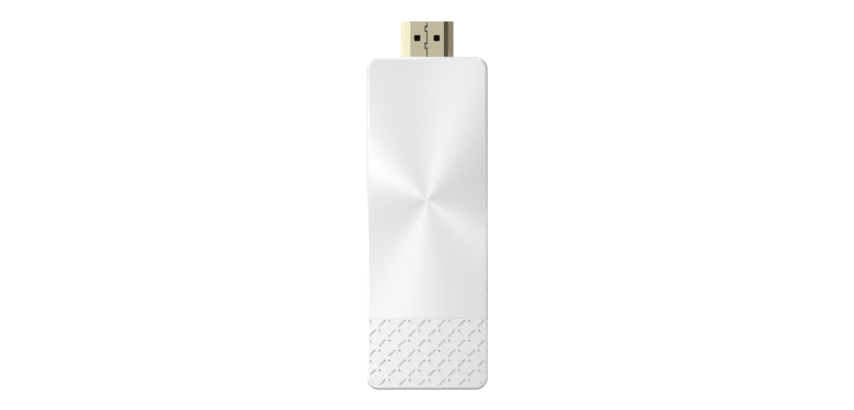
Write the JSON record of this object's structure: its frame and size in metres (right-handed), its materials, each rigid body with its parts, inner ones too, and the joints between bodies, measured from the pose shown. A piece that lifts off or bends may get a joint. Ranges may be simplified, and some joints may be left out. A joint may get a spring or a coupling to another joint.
{
  "type": "wireless presentation dongle",
  "caption": "Flat stick-shaped wireless display receiver with a video plug at one end, a power inlet at the other and a mode button on its side.",
  "frame": {"origin": "on the resting back face, under the middle of the length from tail to plug tip", "axes": "+Z out of the front face, +Y out of the plug, +X towards the button side"},
  "size_m": [0.0318, 0.0962, 0.0125],
  "materials": {
    "white_abs": "moulded, fine satin texture",
    "spun_aluminium": "spun in fine rings, pearl white lacquer",
    "adhesive_film": "double-sided film",
    "gilt_sheet": "folded sheet, champagne gold plate, satin",
    "gold_contact": "gold-flashed spring metal",
    "black_lcp": "moulded, matt",
    "nickel_steel": "stamped, nickel plated",
    "green_board": "glass-fibre laminate, solder mask",
    "chip_epoxy": "moulded epoxy",
    "ferrite": "sintered",
    "tan_ceramic": "fired",
    "metal_can": "pressed lid",
    "silicone_pad": "soft, filled",
    "plain_aluminium": "rolled sheet",
    "clear_guide": "clear, polished",
    "lamp_resin": "moulded resin",
    "white_acetal": "moulded"
  },
  "bodies": {
    "housing": {"front_cover": "white_abs", "back_cover": "white_abs", "fascia_panel": "spun_aluminium", "fascia_adhesive": "adhesive_film", "plug_shell": "gilt_sheet", "plug_contacts": "gold_contact", "inlet_contacts": "gold_contact", "plug_insulator": "black_lcp", "inlet_insulator": "black_lcp", "switch_body": "black_lcp", "inlet_shell": "nickel_steel", "shield_frame": "nickel_steel", "shield_lid": "nickel_steel", "radio_shield": "nickel_steel", "switch_frame": "nickel_steel", "switch_dome": "nickel_steel", "board_screws": "nickel_steel", "aerials": "nickel_steel", "main_board": "green_board", "radio_board": "green_board", "processor": "chip_epoxy", "memory_chips": "chip_epoxy", "flash_chip": "chip_epoxy", "radio_chip": "chip_epoxy", "surge_chips": "chip_epoxy", "regulators": "chip_epoxy", "power_coils": "ferrite", "capacitors": "tan_ceramic", "crystal": "metal_can", "processor_pad": "silicone_pad", "spreader_pad": "silicone_pad", "radio_pad": "silicone_pad", "heat_spreader": "plain_aluminium", "light_guide": "clear_guide", "status_lamp": "lamp_resin"},
    "button": {"mode_button": "white_abs", "switch_plunger": "white_acetal"}
  },
  "joints": [
    {"name": "mode_button_press", "type": "slide", "parent": "housing", "child": "button", "axis": [-1, 0, 0], "range_m": [0, 0.00025], "stiffness_N_per_m": 4000, "deforming": ["switch_dome"]}
  ]
}
